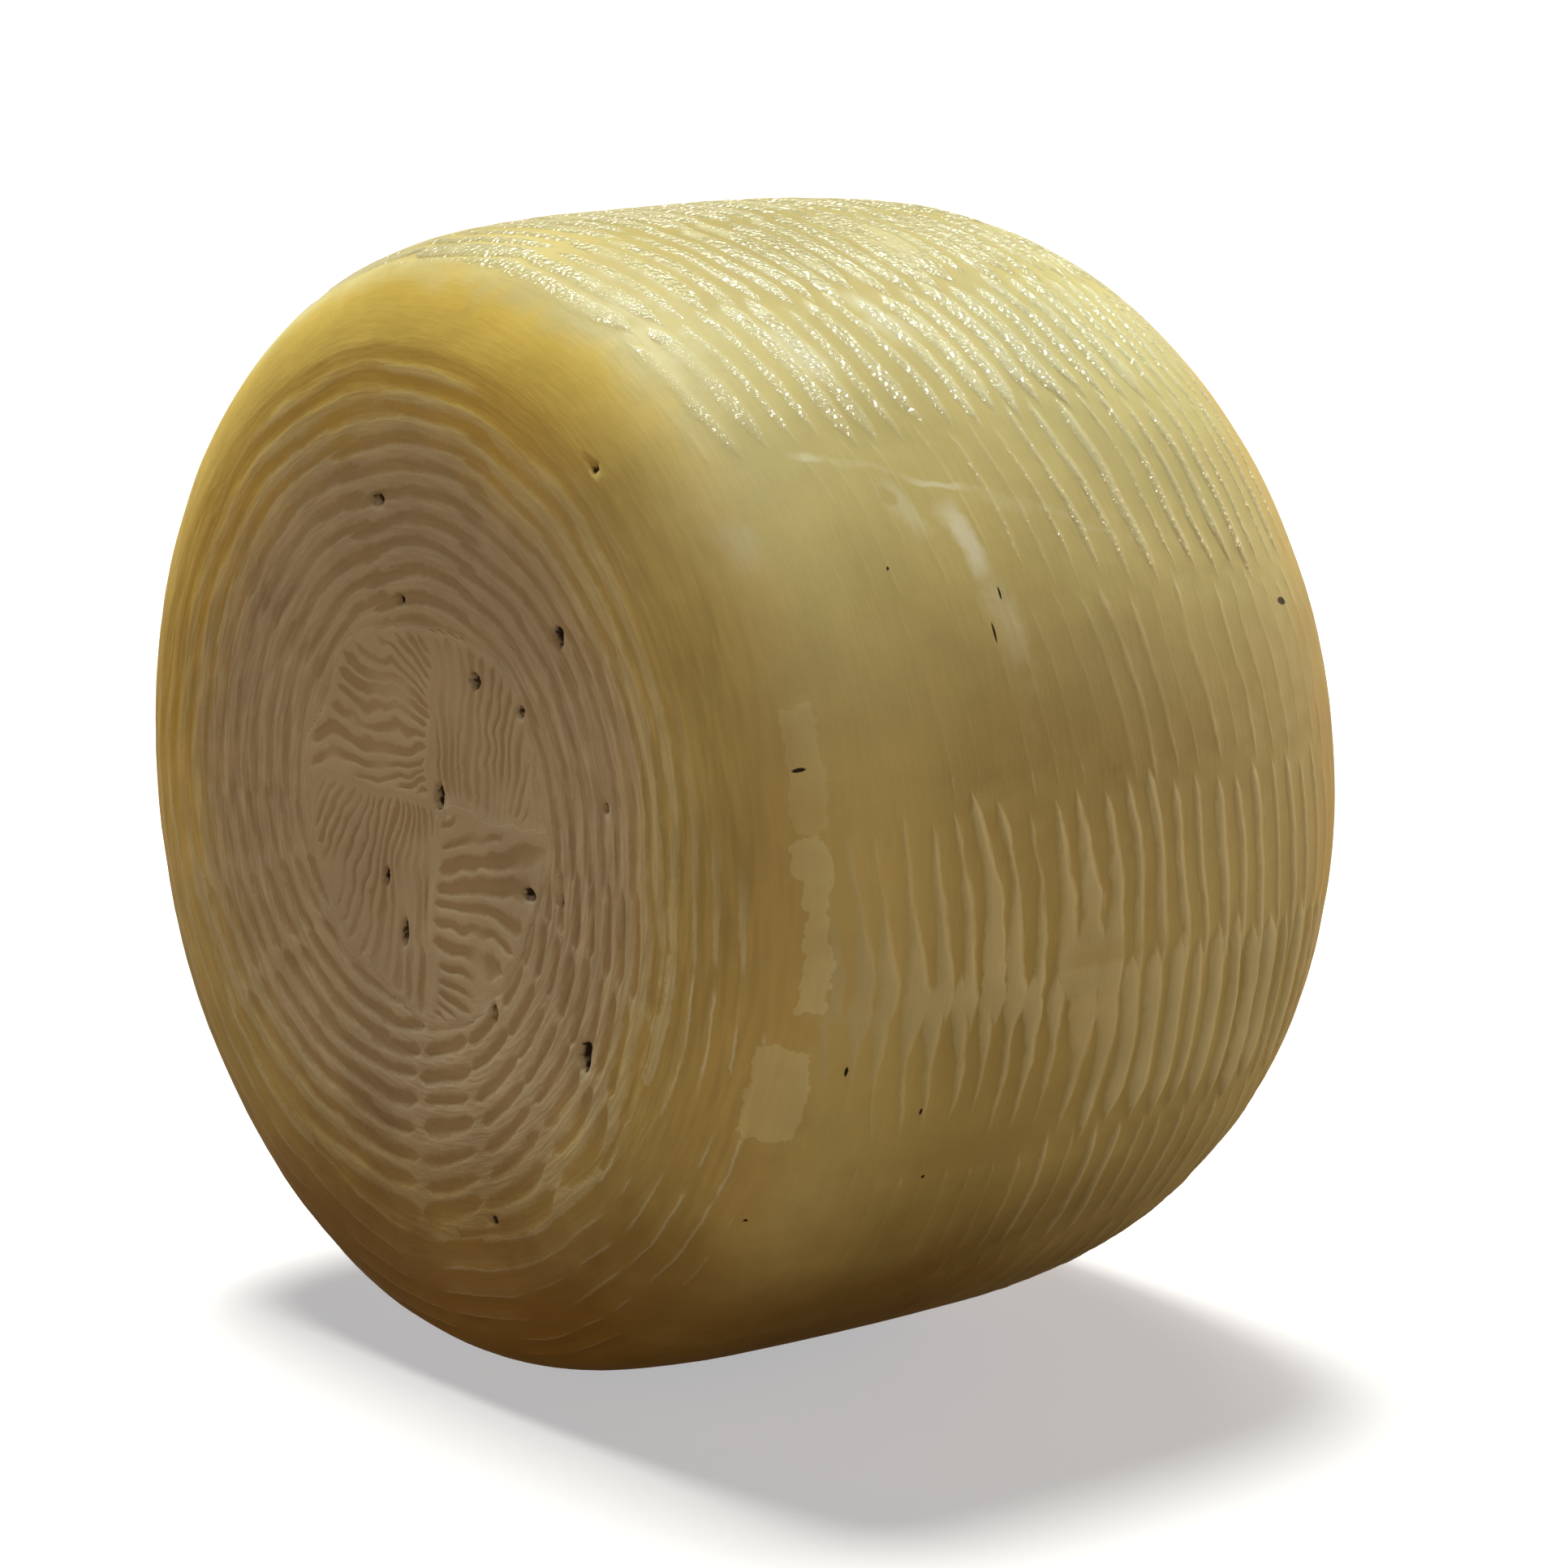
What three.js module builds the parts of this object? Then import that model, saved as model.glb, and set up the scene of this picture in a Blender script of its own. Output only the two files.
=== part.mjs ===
// A whole wheel of pecorino lying on its rounded side. It is one solid piece of cheese: a fat drum with
// a swelling side, wide rounded rims and hollowed faces, marked all over by the rush basket it drained in.
// Millimetres, +Z up. The wheel's own axis lies along Y and the shown face looks along -Y.
import * as THREE from "three";
import { mergeVertices } from "three/addons/utils/BufferGeometryUtils.js";

// Driving dimensions of the drum
const BELLY_RADIUS = 100;
const HALF_LENGTH = 74.2;
const SIDE_SWELL = 3;
const FRONT_SQUARENESS = 7;
const BACK_SQUARENESS = 4;
const DISH_DEPTH = 5.5;
const DISH_RADIUS = 80;
const REST_FLAT_DEPTH = 2;

// Driving dimensions of the basket's marks: a ridge lies between two turns of rush, and its ends
// are pinched where the turns cross a stake
const STAKE_COUNT = 20;
const TURN_COUNT = 65;
const RIDGE_HEIGHT = 0.55;
const CROSS_RADIUS = 32;
const CROSS_PITCH = 8;
const CROSS_HEIGHT = 0.7;

// How far the outline turns between the face and the side while the marks fade out on the smooth rim
const FACE_FADE = [0.75, 0.95];
const SIDE_FADE = [0.35, 0.6];

// Two facets across each ridge and two along it
const ROWS = TURN_COUNT * 2;
const COLUMNS = STAKE_COUNT * 2;

const RIND_COLOUR = 0xc8a860;
const RIND_ROUGHNESS = 0.45;

// The outline from the middle of the front face, over the belly, to the middle of the back face:
// a squared ellipse that swells at the belly and is hollowed towards the middle of each face
class WheelOutline extends THREE.Curve {
  getPoint(t, target = new THREE.Vector2()) {
    const angle = Math.PI * t;
    const squareness = t < 0.5 ? FRONT_SQUARENESS : BACK_SQUARENESS;
    const lengthwise = Math.cos(angle);
    const outwards = Math.sin(angle);
    const reach = (Math.abs(lengthwise) ** squareness + outwards ** squareness) ** (-1 / squareness);
    const along = lengthwise * reach;
    const radius = (BELLY_RADIUS - SIDE_SWELL * along ** 2) * outwards * reach;
    const hollow = DISH_DEPTH * Math.max(0, 1 - (radius / DISH_RADIUS) ** 2);
    return target.set(radius, Math.sign(lengthwise) * hollow - HALF_LENGTH * along);
  }
}

// The middle of a face: four blocks of straight stems, each laid across its neighbours
function crossRelief(x, z) {
  const across = Math.abs(x * z > 0 ? x : z);
  return CROSS_HEIGHT * Math.sin((2 * Math.PI * across) / CROSS_PITCH);
}

// Rings on a face and ridges round the side: each stretch between two stakes is half a turn out of
// step with the next one, and the side's stakes fall halfway between those of the faces
function weaveRelief(row, angle, facing) {
  const turn = row % 2 === 0 ? 1 : -1;
  const half = (STAKE_COUNT / 2) * angle;
  const ring = THREE.MathUtils.smoothstep(facing, ...FACE_FADE) * Math.sin(half);
  const ridge = (1 - THREE.MathUtils.smoothstep(facing, ...SIDE_FADE)) * Math.cos(half);
  return RIDGE_HEIGHT * turn * (ring + ridge);
}

function wheelGeometry() {
  const outline = new WheelOutline();
  outline.arcLengthDivisions = ROWS * 20;
  const profile = outline.getSpacedPoints(ROWS);
  profile[0].x = 0;
  profile[ROWS].x = 0;
  const geometry = new THREE.LatheGeometry(profile, COLUMNS);

  const point = new THREE.Vector3();
  const normal = new THREE.Vector3();
  const restHeight = REST_FLAT_DEPTH - BELLY_RADIUS;
  for (let index = 0; index < geometry.attributes.position.count; index += 1) {
    const row = index % (ROWS + 1);
    if (row === 0 || row === ROWS) continue;
    point.fromBufferAttribute(geometry.attributes.position, index);
    normal.fromBufferAttribute(geometry.attributes.normal, index);
    const inCross = Math.hypot(point.x, point.z) < CROSS_RADIUS;
    const angle = Math.atan2(point.x, point.z);
    const relief = inCross
      ? crossRelief(point.x, point.z)
      : weaveRelief(row, angle, Math.abs(normal.y));
    point.addScaledVector(normal, relief);
    point.z = Math.max(point.z, restHeight);
    geometry.attributes.position.setXYZ(index, point.x, point.y, point.z);
  }

  geometry.deleteAttribute("normal");
  geometry.deleteAttribute("uv");
  const wheel = mergeVertices(geometry, 1e-4);
  wheel.computeBoundingBox();
  const { min, max } = wheel.boundingBox;
  wheel.translate(-(min.x + max.x) / 2, -(min.y + max.y) / 2, -min.z);
  wheel.computeVertexNormals();
  return wheel;
}

const rind = new THREE.MeshStandardMaterial({
  color: RIND_COLOUR,
  roughness: RIND_ROUGHNESS,
  metalness: 0,
});
const wheel = new THREE.Mesh(wheelGeometry(), rind);
wheel.name = "cheese_wheel";

const pecorino = new THREE.Group();
pecorino.add(wheel);

export default pecorino;
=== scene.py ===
import math

import bmesh
import bpy
import numpy as np
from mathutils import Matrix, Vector


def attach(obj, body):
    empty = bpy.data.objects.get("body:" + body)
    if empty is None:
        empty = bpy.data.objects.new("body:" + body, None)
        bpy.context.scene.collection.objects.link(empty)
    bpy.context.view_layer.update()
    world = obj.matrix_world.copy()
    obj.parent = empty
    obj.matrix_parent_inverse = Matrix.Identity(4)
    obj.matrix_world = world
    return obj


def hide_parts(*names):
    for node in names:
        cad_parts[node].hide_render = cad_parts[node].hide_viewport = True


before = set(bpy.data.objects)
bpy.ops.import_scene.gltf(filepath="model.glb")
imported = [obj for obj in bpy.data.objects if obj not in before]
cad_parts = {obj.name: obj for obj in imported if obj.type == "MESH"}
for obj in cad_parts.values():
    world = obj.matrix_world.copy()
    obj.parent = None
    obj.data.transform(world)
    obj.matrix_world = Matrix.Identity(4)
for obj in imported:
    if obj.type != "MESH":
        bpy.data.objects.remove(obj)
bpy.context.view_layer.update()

# The cheese wheel
# One lump of pressed sheep's milk curd: a drum with a swelling side, rounded rims and hollowed faces.
# It drained in a basket woven of rush, so its oiled rind carries the weave all over as low relief.

# Sizes of the drum, in millimetres, and the length of one degree round its belly
MM = 0.001
BELLY_RADIUS = 100.0
HALF_LENGTH = 74.2
SIDE_SWELL = 3.0
FRONT_SQUARENESS = 7.0
BACK_SQUARENESS = 4.0
DISH_DEPTH = 5.5
DISH_RADIUS = 80.0
REST_FLAT_DEPTH = 2.0
AXIS_HEIGHT = BELLY_RADIUS - REST_FLAT_DEPTH
DEGREE_LENGTH = math.radians(BELLY_RADIUS)

# How finely the drum is divided: the points its outline is worked out at, the spans along the outline and
# round the axis, the cuts in each span, and the triangles that are left after thinning
OUTLINE_POINTS = 6001
OUTLINE_SPANS = 90
ROUND_SPANS = 80
SPAN_CUTS = 6
MERGE_DISTANCE = 0.0005
KEPT_TRIANGLES = 196000


def drum_outline():
    """Radius, place along the axis and length of way, from the middle of the front to that of the back."""
    turn = np.linspace(0, np.pi, OUTLINE_POINTS)
    squareness = np.where(turn < np.pi / 2, FRONT_SQUARENESS, BACK_SQUARENESS)
    lengthwise = np.cos(turn)
    outwards = np.clip(np.sin(turn), 0, 1)
    reach = (np.abs(lengthwise) ** squareness + outwards**squareness) ** (-1 / squareness)
    along = lengthwise * reach
    radius = (BELLY_RADIUS - SIDE_SWELL * along**2) * outwards * reach
    hollow = DISH_DEPTH * np.clip(1 - (radius / DISH_RADIUS) ** 2, 0, None)
    axial = np.sign(lengthwise) * hollow - HALF_LENGTH * along
    axial -= (axial.min() + axial.max()) / 2
    way = np.append(0, np.cumsum(np.hypot(np.diff(radius), np.diff(axial))))
    return radius, axial, way


outline_radius, outline_axial, outline_way = drum_outline()
wheel_bm = bmesh.new()
way_layer = wheel_bm.verts.layers.float.new("way")
outline_verts = []
for way in np.linspace(0, outline_way[-1], OUTLINE_SPANS + 1):
    radius = np.interp(way, outline_way, outline_radius)
    axial = np.interp(way, outline_way, outline_axial)
    vert = wheel_bm.verts.new((radius * MM, axial * MM, 0))
    vert[way_layer] = way
    outline_verts.append(vert)
outline_edges = [wheel_bm.edges.new(pair) for pair in zip(outline_verts, outline_verts[1:])]
bmesh.ops.spin(
    wheel_bm,
    geom=outline_verts + outline_edges,
    cent=(0, 0, 0),
    axis=(0, 1, 0),
    angle=2 * math.pi,
    steps=ROUND_SPANS,
    use_merge=True,
)
bmesh.ops.remove_doubles(wheel_bm, verts=wheel_bm.verts, dist=MERGE_DISTANCE * MM)
bmesh.ops.recalc_face_normals(wheel_bm, faces=wheel_bm.faces)
bmesh.ops.subdivide_edges(wheel_bm, edges=wheel_bm.edges, cuts=SPAN_CUTS, use_grid_fill=True)
wheel_mesh = bpy.data.meshes.new("pecorino_wheel")
wheel_bm.to_mesh(wheel_mesh)
wheel_bm.free()

# Where each point of the rind is: its way along the outline, its angle up from the right-hand side, its
# place in millimetres from the wheel's middle, and which way it faces
flat_spots = np.empty(len(wheel_mesh.vertices) * 3, dtype=np.float32)
wheel_mesh.vertices.foreach_get("co", flat_spots)
flat_spots = flat_spots.reshape(-1, 3).astype(float)
ways = np.empty(len(flat_spots), dtype=np.float32)
wheel_mesh.attributes["way"].data.foreach_get("value", ways)
ways = ways.astype(float)
angles = np.degrees(np.arctan2(flat_spots[:, 2], flat_spots[:, 0]))
rightwards = np.cos(np.radians(angles))
upwards = np.sin(np.radians(angles))
radii = np.interp(ways, outline_way, outline_radius)
spots = np.empty_like(flat_spots)
spots[:, 0] = radii * rightwards
spots[:, 1] = np.interp(ways, outline_way, outline_axial)
spots[:, 2] = radii * upwards
normal_out = np.interp(ways, outline_way, np.gradient(outline_axial, outline_way))
normal_axial = np.interp(ways, outline_way, -np.gradient(outline_radius, outline_way))
facing = np.abs(normal_axial)
end_way = np.minimum(ways, outline_way[-1] - ways)

LUMP_CELLS = 32


def smooth(low, high, value):
    """From 0 at the low value to 1 at the high one, easing in and out."""
    part = np.clip((value - low) / (high - low), 0, 1)
    return part * part * (3 - 2 * part)


def unevenness(seed, amount, size):
    """Soft random lumps of the given size in millimetres, up to the given amount either way."""
    lumps = np.random.default_rng(seed).uniform(-1, 1, (LUMP_CELLS, LUMP_CELLS, LUMP_CELLS))
    cell = spots / size
    corner = np.floor(cell).astype(int)
    part = cell - corner
    part = part * part * (3 - 2 * part)
    total = np.zeros(len(spots))
    for step in np.ndindex(2, 2, 2):
        share = np.prod(np.where(step, part, 1 - part), axis=1)
        x, y, z = ((corner + step) % LUMP_CELLS).T
        total += share * lumps[x, y, z]
    return amount * total


# The basket's marks: turns of rush between upright stakes. The ridges of each stretch are out of step
# with those of the next, slant from stake to stake and run out in points near the stakes. A mark that is
# open at a stake runs on a little way past it. Lumps and bends are given as an amount and a size
STAKES = 20
STAKE_STEP = 360 / STAKES
LONGEST_COUNT = 97
STAKE_LUMPS = (1.5, 24)
LONG_BENDS = (0.22, 15)
SHORT_BENDS = (0.07, 5)
END_SCATTER = 0.07
ROW_SCATTER = 0.08
OPEN_FAR = 0.32
OPEN_NEAR = 0.05
POINT_ROUNDING = 0.7
POINT_TRIM = 0.06


def rush_ridges(rows, from_first_stake, lean, step, share_of, varied, tapers, reaches, opens, run_on, seed):
    """For the even and the odd stretches: the count of turns at each point and the ridge's half width."""
    low_taper, high_taper = tapers
    low_reach, high_reach = reaches
    low_open, high_open = opens
    stretch = (from_first_stake + unevenness(seed, *STAKE_LUMPS)) / STAKE_STEP
    bend = unevenness(seed + 1, *LONG_BENDS) + unevenness(seed + 2, *SHORT_BENDS)
    chances = np.random.default_rng(seed).uniform(-1, 1, (STAKES, LONGEST_COUNT, 4))
    ridges = []
    for odd in (0, 1):
        place = (stretch - odd + 0.5) % 2 - 0.5
        number = np.rint(stretch - place).astype(int) % STAKES
        turn = rows + (1 - run_on) * (lean[number] * place + odd * step[number]) + bend
        row = np.floor(turn).astype(int) % LONGEST_COUNT
        chance = chances[number, row] * (1 - run_on)[:, None]
        low_point = END_SCATTER * chance[:, 0] - low_reach[number]
        high_point = 1 + high_reach[number] + END_SCATTER * chance[:, 1]
        low_end = smooth(0, low_taper, place - low_point)
        high_end = smooth(0, high_taper, high_point - place)
        low_end = np.maximum(low_end, low_open[number] * smooth(-OPEN_FAR, -OPEN_NEAR, place))
        high_end = np.maximum(high_end, high_open[number] * smooth(1 + OPEN_FAR, 1 + OPEN_NEAR, place))
        run_out = np.maximum(low_end * high_end, run_on)
        half = 0.5 * share_of(number) * (1 + varied * chance[:, 2]) * run_out**POINT_ROUNDING
        ridges.append((turn + ROW_SCATTER * chance[:, 3], half - POINT_TRIM * (1 - run_out)))
    return ridges


def ridge_height(ridges, soft):
    """Height from 0 to 1 of the higher of the two sets of ridges."""
    height = np.zeros(len(spots))
    for turn, half in ridges:
        offset = np.abs(turn - np.floor(turn) - 0.5)
        height = np.maximum(height, smooth(0, 1, np.clip((half - offset) / soft, 0, 1)))
    return height


# The side: the pitch of the rush, and for each stretch in turn from the right-hand side upwards how deep
# its marks are near the front and near the back, and how wide its ridges are there
SIDE_FIRST_STAKE = 8.5
SIDE_LEAN = 0.85
SIDE_STEP = 0.5
SIDE_PITCH_WAYS = [98, 150, 205]
SIDE_PITCHES = [4.8, 5.4, 4.2]
SIDE_STRETCHES = {
    0: (0.16, 0.42, 0.24, 0.34),
    1: (0.20, 0.62, 0.26, 0.46),
    2: (0.34, 0.72, 0.66, 0.76),
    3: (0.60, 0.90, 0.88, 0.90),
    4: (0.62, 0.90, 0.94, 0.94),
    14: (0.05, 0.08, 0.30, 0.30),
    15: (0.07, 0.14, 0.30, 0.30),
    16: (0.14, 0.62, 0.28, 0.32),
    17: (0.18, 0.95, 0.28, 0.38),
    18: (0.48, 1.20, 0.66, 0.88),
    19: (0.50, 0.60, 0.42, 0.52),
}
SIDE_USUAL_STRETCH = (0.85, 0.85, 0.92, 0.92)
SIDE_BACK_WAYS = (125, 185)
SIDE_BROAD_WAYS = (150, 164)
SIDE_WIDTH_VARIED = 0.32
SIDE_TAPERS = (0.34, 0.20)
SIDE_REACH = 0.10
SIDE_SEED = 11
SIDE_DEPTH = 0.62
SIDE_SOFT = 0.32
STAKE_REACH = 2.5

# The stake where the ridges have run together into a net: those above widen towards it, and those below
# hang from it in long points. It sags a little on its way back and is thinner towards the front
NET_ANGLE = SIDE_FIRST_STAKE - STAKE_STEP
NET_SAG = 2.2
NET_SAG_WAYS = (108, 150)
NET_SAG_SPREAD = 26
NET_PLACES = [-16, -12.5, -8, -4.5, -2, 2, 5, 8.5, 13]
NET_SHARES = [0.0, 0.28, 0.55, 0.95, 1.30, 1.25, 0.92, 0.64, 0.48]
NET_REACH = 0.22
NET_LUMPS = (2.6, 7)
NET_WIDTH_LUMPS = (0.24, 4)
NET_FINE_LUMPS = (0.16, 2)
NET_FRONT_SHARE = 0.72
NET_FRONT_WAYS = (104, 122)
BELOW_NET = 18
ABOVE_NET = 19

pitch_here = np.interp(outline_way, SIDE_PITCH_WAYS, SIDE_PITCHES)
side_rows = np.interp(ways, outline_way, np.cumsum(np.gradient(outline_way) / pitch_here))
sag = NET_SAG * smooth(*NET_SAG_WAYS, ways) * np.exp(-(((angles - NET_ANGLE) / NET_SAG_SPREAD) ** 2))
side_angles = angles + sag - SIDE_FIRST_STAKE
stretch_table = np.array([SIDE_STRETCHES.get(n, SIDE_USUAL_STRETCH) for n in range(STAKES)])
towards_back = smooth(*SIDE_BACK_WAYS, ways)
towards_broad = smooth(*SIDE_BROAD_WAYS, ways)
from_net = angles + sag - NET_ANGLE + unevenness(51, *NET_LUMPS)
net_shares = np.interp(from_net, NET_PLACES, NET_SHARES)
net_shares *= NET_FRONT_SHARE + (1 - NET_FRONT_SHARE) * smooth(*NET_FRONT_WAYS, ways)
net_shares *= 1 + unevenness(55, *NET_WIDTH_LUMPS) + unevenness(56, *NET_FINE_LUMPS)


def side_share(number):
    """How wide the ridges of the numbered stretches are, as a share of their pitch."""
    front_share, back_share = stretch_table[number, 2:].T
    by_net = (number == BELOW_NET) | (number == ABOVE_NET)
    front_share = np.where(by_net, net_shares, front_share)
    return front_share + (back_share - front_share) * towards_broad


def side_mark_depth(shift):
    """How deep the marks are in the stretch that lies the given number of degrees further up."""
    number = np.floor((side_angles + shift) / STAKE_STEP).astype(int) % STAKES
    front_depth, back_depth = stretch_table[number, :2].T
    return front_depth + (back_depth - front_depth) * towards_back


low_reach = np.full(STAKES, SIDE_REACH)
high_reach = np.full(STAKES, SIDE_REACH)
high_reach[BELOW_NET] = NET_REACH
low_reach[ABOVE_NET] = NET_REACH
closed = np.zeros(STAKES)
side_ridges = rush_ridges(
    side_rows,
    side_angles,
    np.full(STAKES, SIDE_LEAN),
    np.full(STAKES, SIDE_STEP),
    side_share,
    SIDE_WIDTH_VARIED,
    SIDE_TAPERS,
    (low_reach, high_reach),
    (closed, closed),
    np.zeros(len(spots)),
    SIDE_SEED,
)

# How far the side's ridges are kept where they are worn, and where they fade out towards the rims
WORN_LUMPS = (1.0, 26)
WORN_FINE_LUMPS = (0.5, 9)
WORN_RANGE = (0.55, -0.35)
KEPT_WHERE_WORN = 0.55
SIDE_FADE = (0.66, 0.40)
kept = smooth(*WORN_RANGE, unevenness(53, *WORN_LUMPS) + unevenness(54, *WORN_FINE_LUMPS))
side_depth = np.maximum(side_mark_depth(-STAKE_REACH), side_mark_depth(STAKE_REACH))
side_depth *= KEPT_WHERE_WORN + (1 - KEPT_WHERE_WORN) * kept
side_depth *= smooth(*SIDE_FADE, facing)

# The faces: dents of the rush in rings round a cross of straight stems. Low on the face they are short and
# step from stretch to stretch, higher up they run on, and towards the rim only thin crests are left between
RING_PITCH = 4.5
RING_SHARE = 0.70
LOW_RING_SHARE = 0.77
RIM_RING_SHARE = 0.97
LEFT_RIM_RING_SHARE = 0.90
SIDEWAYS_NARROWING = 0.12
RING_WIDTH_LUMPS = (0.15, 7)
EVEN_WHERE_THIN = 0.85
RING_WIDTH_VARIED = 0.14
RING_LEAN = 0.12
LOW_RING_LEAN = 0.57
RING_STEP = 0.12
LOW_RING_STEP = 0.50
RING_TAPERS = (0.20, 0.26)
RING_REACH = 0.06
RING_SEED = 23
RING_DEPTH = 0.46
RING_SOFT = 0.38
RUN_ON_STAKES = [13, 14]
RUN_ON_RADII = (66, 74)
LOW_STRETCHES = (0.35, -0.55)
LOW_POINTS = (0.35, -0.35)
THIN_CREST_RADII = (64, 76)
THIN_CRESTS_ABOVE = 0.35

stretch_middle = STAKE_STEP * (np.arange(STAKES) + 0.5)
lowness = smooth(*LOW_STRETCHES, np.sin(np.radians(stretch_middle)))
low_here = smooth(*LOW_POINTS, upwards)
leftwards = np.clip(-rightwards, 0, 1)
thin_crests = smooth(*THIN_CREST_RADII, radii) * (THIN_CRESTS_ABOVE + (1 - THIN_CRESTS_ABOVE) * low_here)
ring_shares = RING_SHARE + (LOW_RING_SHARE - RING_SHARE) * low_here - SIDEWAYS_NARROWING * rightwards**2
rim_shares = RIM_RING_SHARE + (LEFT_RIM_RING_SHARE - RIM_RING_SHARE) * leftwards
ring_shares += (rim_shares - ring_shares) * thin_crests
ring_shares *= 1 + (1 - EVEN_WHERE_THIN * thin_crests) * unevenness(63, *RING_WIDTH_LUMPS)


def ring_share(number):
    """How wide the dents are, as a share of their pitch: alike in all stretches."""
    return ring_shares


ring_reach = np.full(STAKES, RING_REACH)
open_below = 1 - lowness
open_above = 1 - lowness
for stretch_above in RUN_ON_STAKES:
    open_below[stretch_above] = 1
    open_above[stretch_above - 1] = 1
ring_dents = rush_ridges(
    end_way / RING_PITCH,
    angles,
    RING_LEAN + (LOW_RING_LEAN - RING_LEAN) * lowness,
    RING_STEP + (LOW_RING_STEP - RING_STEP) * lowness,
    ring_share,
    RING_WIDTH_VARIED,
    RING_TAPERS,
    (ring_reach, ring_reach),
    (open_below, open_above),
    smooth(*RUN_ON_RADII, radii),
    RING_SEED,
)

# How deep the dents are: less on the left and among the thin crests, which are broken here and there, more
# low on the face, and fading out on the rim, sooner above than below
LEFT_LESS = 0.45
THIN_LESS = 0.40
LOW_MORE = 0.5
RING_DEPTH_USUAL = 0.70
RING_DEPTH_LUMPS = (0.30, 10)
BREAK_LUMPS = (0.6, 15)
BREAK_FINE_LUMPS = (0.5, 6)
BREAK_RANGE = (0.10, -0.25)
LEFT_UNBROKEN = 0.8
RING_FADE_WAYS = (100, 90)
RING_FADE_SOONER = 18
RING_FADE_LUMPS = (4, 12)
ring_depth = RING_DEPTH_USUAL + unevenness(61, *RING_DEPTH_LUMPS)
ring_depth *= (1 - LEFT_LESS * leftwards**3) * (1 - THIN_LESS * thin_crests) * (1 + LOW_MORE * low_here)
breaks = smooth(*BREAK_RANGE, unevenness(64, *BREAK_LUMPS) + unevenness(65, *BREAK_FINE_LUMPS))
ring_depth *= 1 - thin_crests * breaks * (1 - LEFT_UNBROKEN * leftwards)
fade_way = end_way + RING_FADE_SOONER * (1 - low_here) + unevenness(62, *RING_FADE_LUMPS)
ring_depth *= smooth(*RING_FADE_WAYS, fade_way)

# Each block of the cross is a fan of stems: the point they spread from and how fast it moves across below
# its height, their spread in degrees, the side of the middle the block lies on and how deep its marks are
CROSS_RADIUS = 34.0
CROSS_MIDDLE = (1.5, 3.0)
CROSS_BLOCKS = [
    ((-41.5, -20.6), 1.2, 4.4, (1, -1), 1.20),
    ((11.8, -23.6), 0.0, 3.6, (1, 1), 0.65),
    ((15.4, 13.0), 0.0, 5.6, (-1, 1), 1.05),
    ((-5.0, 25.0), 0.0, 3.8, (-1, -1), 0.70),
]
CROSS_EDGE_LUMPS = (4, 9)
CROSS_EDGE = 3
CROSS_SEAM = 2.5
CROSS_GAP = 1.5
CROSS_FACING = 0.7
STEM_SHARE = 0.88
STEM_CHANCES = 128
STEM_THICKNESSES = (0.7, 1.25)
STEM_BENDS = (2.5, 9)
STEM_FINE_BENDS = (0.8, 3)
STEM_TRIM = 0.05
STEM_DEPTH_USUAL = 0.70
STEM_DEPTH_LUMPS = (0.70, 7)
NO_MARK = -1.0
stem_across = spots[:, 0] + unevenness(31, *STEM_BENDS) + unevenness(32, *STEM_FINE_BENDS)
stem_up = spots[:, 2] + unevenness(33, *STEM_BENDS) + unevenness(34, *STEM_FINE_BENDS)
thicknesses = np.random.default_rng(35).uniform(*STEM_THICKNESSES, STEM_CHANCES)
ragged_radii = radii + unevenness(37, *CROSS_EDGE_LUMPS)
in_cross = (ragged_radii < CROSS_RADIUS) & (facing > CROSS_FACING)
stem_turn = np.zeros(len(spots))
stem_half = np.full(len(spots), NO_MARK)
stem_depth = np.zeros(len(spots))
for (focus_x, focus_z), moving, spread, (side_x, side_z), depth in CROSS_BLOCKS:
    from_focus = stem_across - moving * np.clip(focus_z - spots[:, 2], 0, None) - focus_x
    turn = np.degrees(np.arctan2(stem_up - focus_z, from_focus * side_x)) / spread
    thickness = thicknesses[np.floor(turn).astype(int) % STEM_CHANCES]
    within = np.minimum(side_x * (stem_across - CROSS_MIDDLE[0]), side_z * (stem_up - CROSS_MIDDLE[1]))
    inside_edges = smooth(0, CROSS_SEAM, within) * smooth(0, CROSS_EDGE, CROSS_RADIUS - ragged_radii)
    half = 0.5 * STEM_SHARE * thickness * inside_edges
    block = in_cross & (within > 0)
    stem_turn[block] = turn[block]
    stem_half[block] = half[block] - STEM_TRIM
    stem_depth[block] = depth
stem_depth *= STEM_DEPTH_USUAL + unevenness(36, *STEM_DEPTH_LUMPS)

# Film patches, where the rind on the front rim is smooth: from and to along the way, from and to in angle
FILM_PATCHES = [
    (94.0, 99.5, 7.0, 19.3),
    (92.8, 97.0, 3.0, 7.0),
    (94.8, 99.3, -10.5, 7.0),
    (89.5, 98.5, -25.0, -14.3),
]
FILM_LUMPS = (0.8, 5)
FILM_EDGE = 0.6
FILM_RISE = 0.10
FILM_COVERS = 0.8
FAR_OUTSIDE = -9.0
film = np.full(len(spots), FAR_OUTSIDE)
for from_way, to_way, from_angle, to_angle in FILM_PATCHES:
    inside_way = np.minimum(ways - from_way, to_way - ways)
    inside_round = np.minimum(angles - from_angle, to_angle - angles) * DEGREE_LENGTH
    film = np.maximum(film, np.minimum(inside_way, inside_round))
film += unevenness(71, *FILM_LUMPS)
filmed = smooth(-FILM_EDGE, FILM_EDGE, film)

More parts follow.
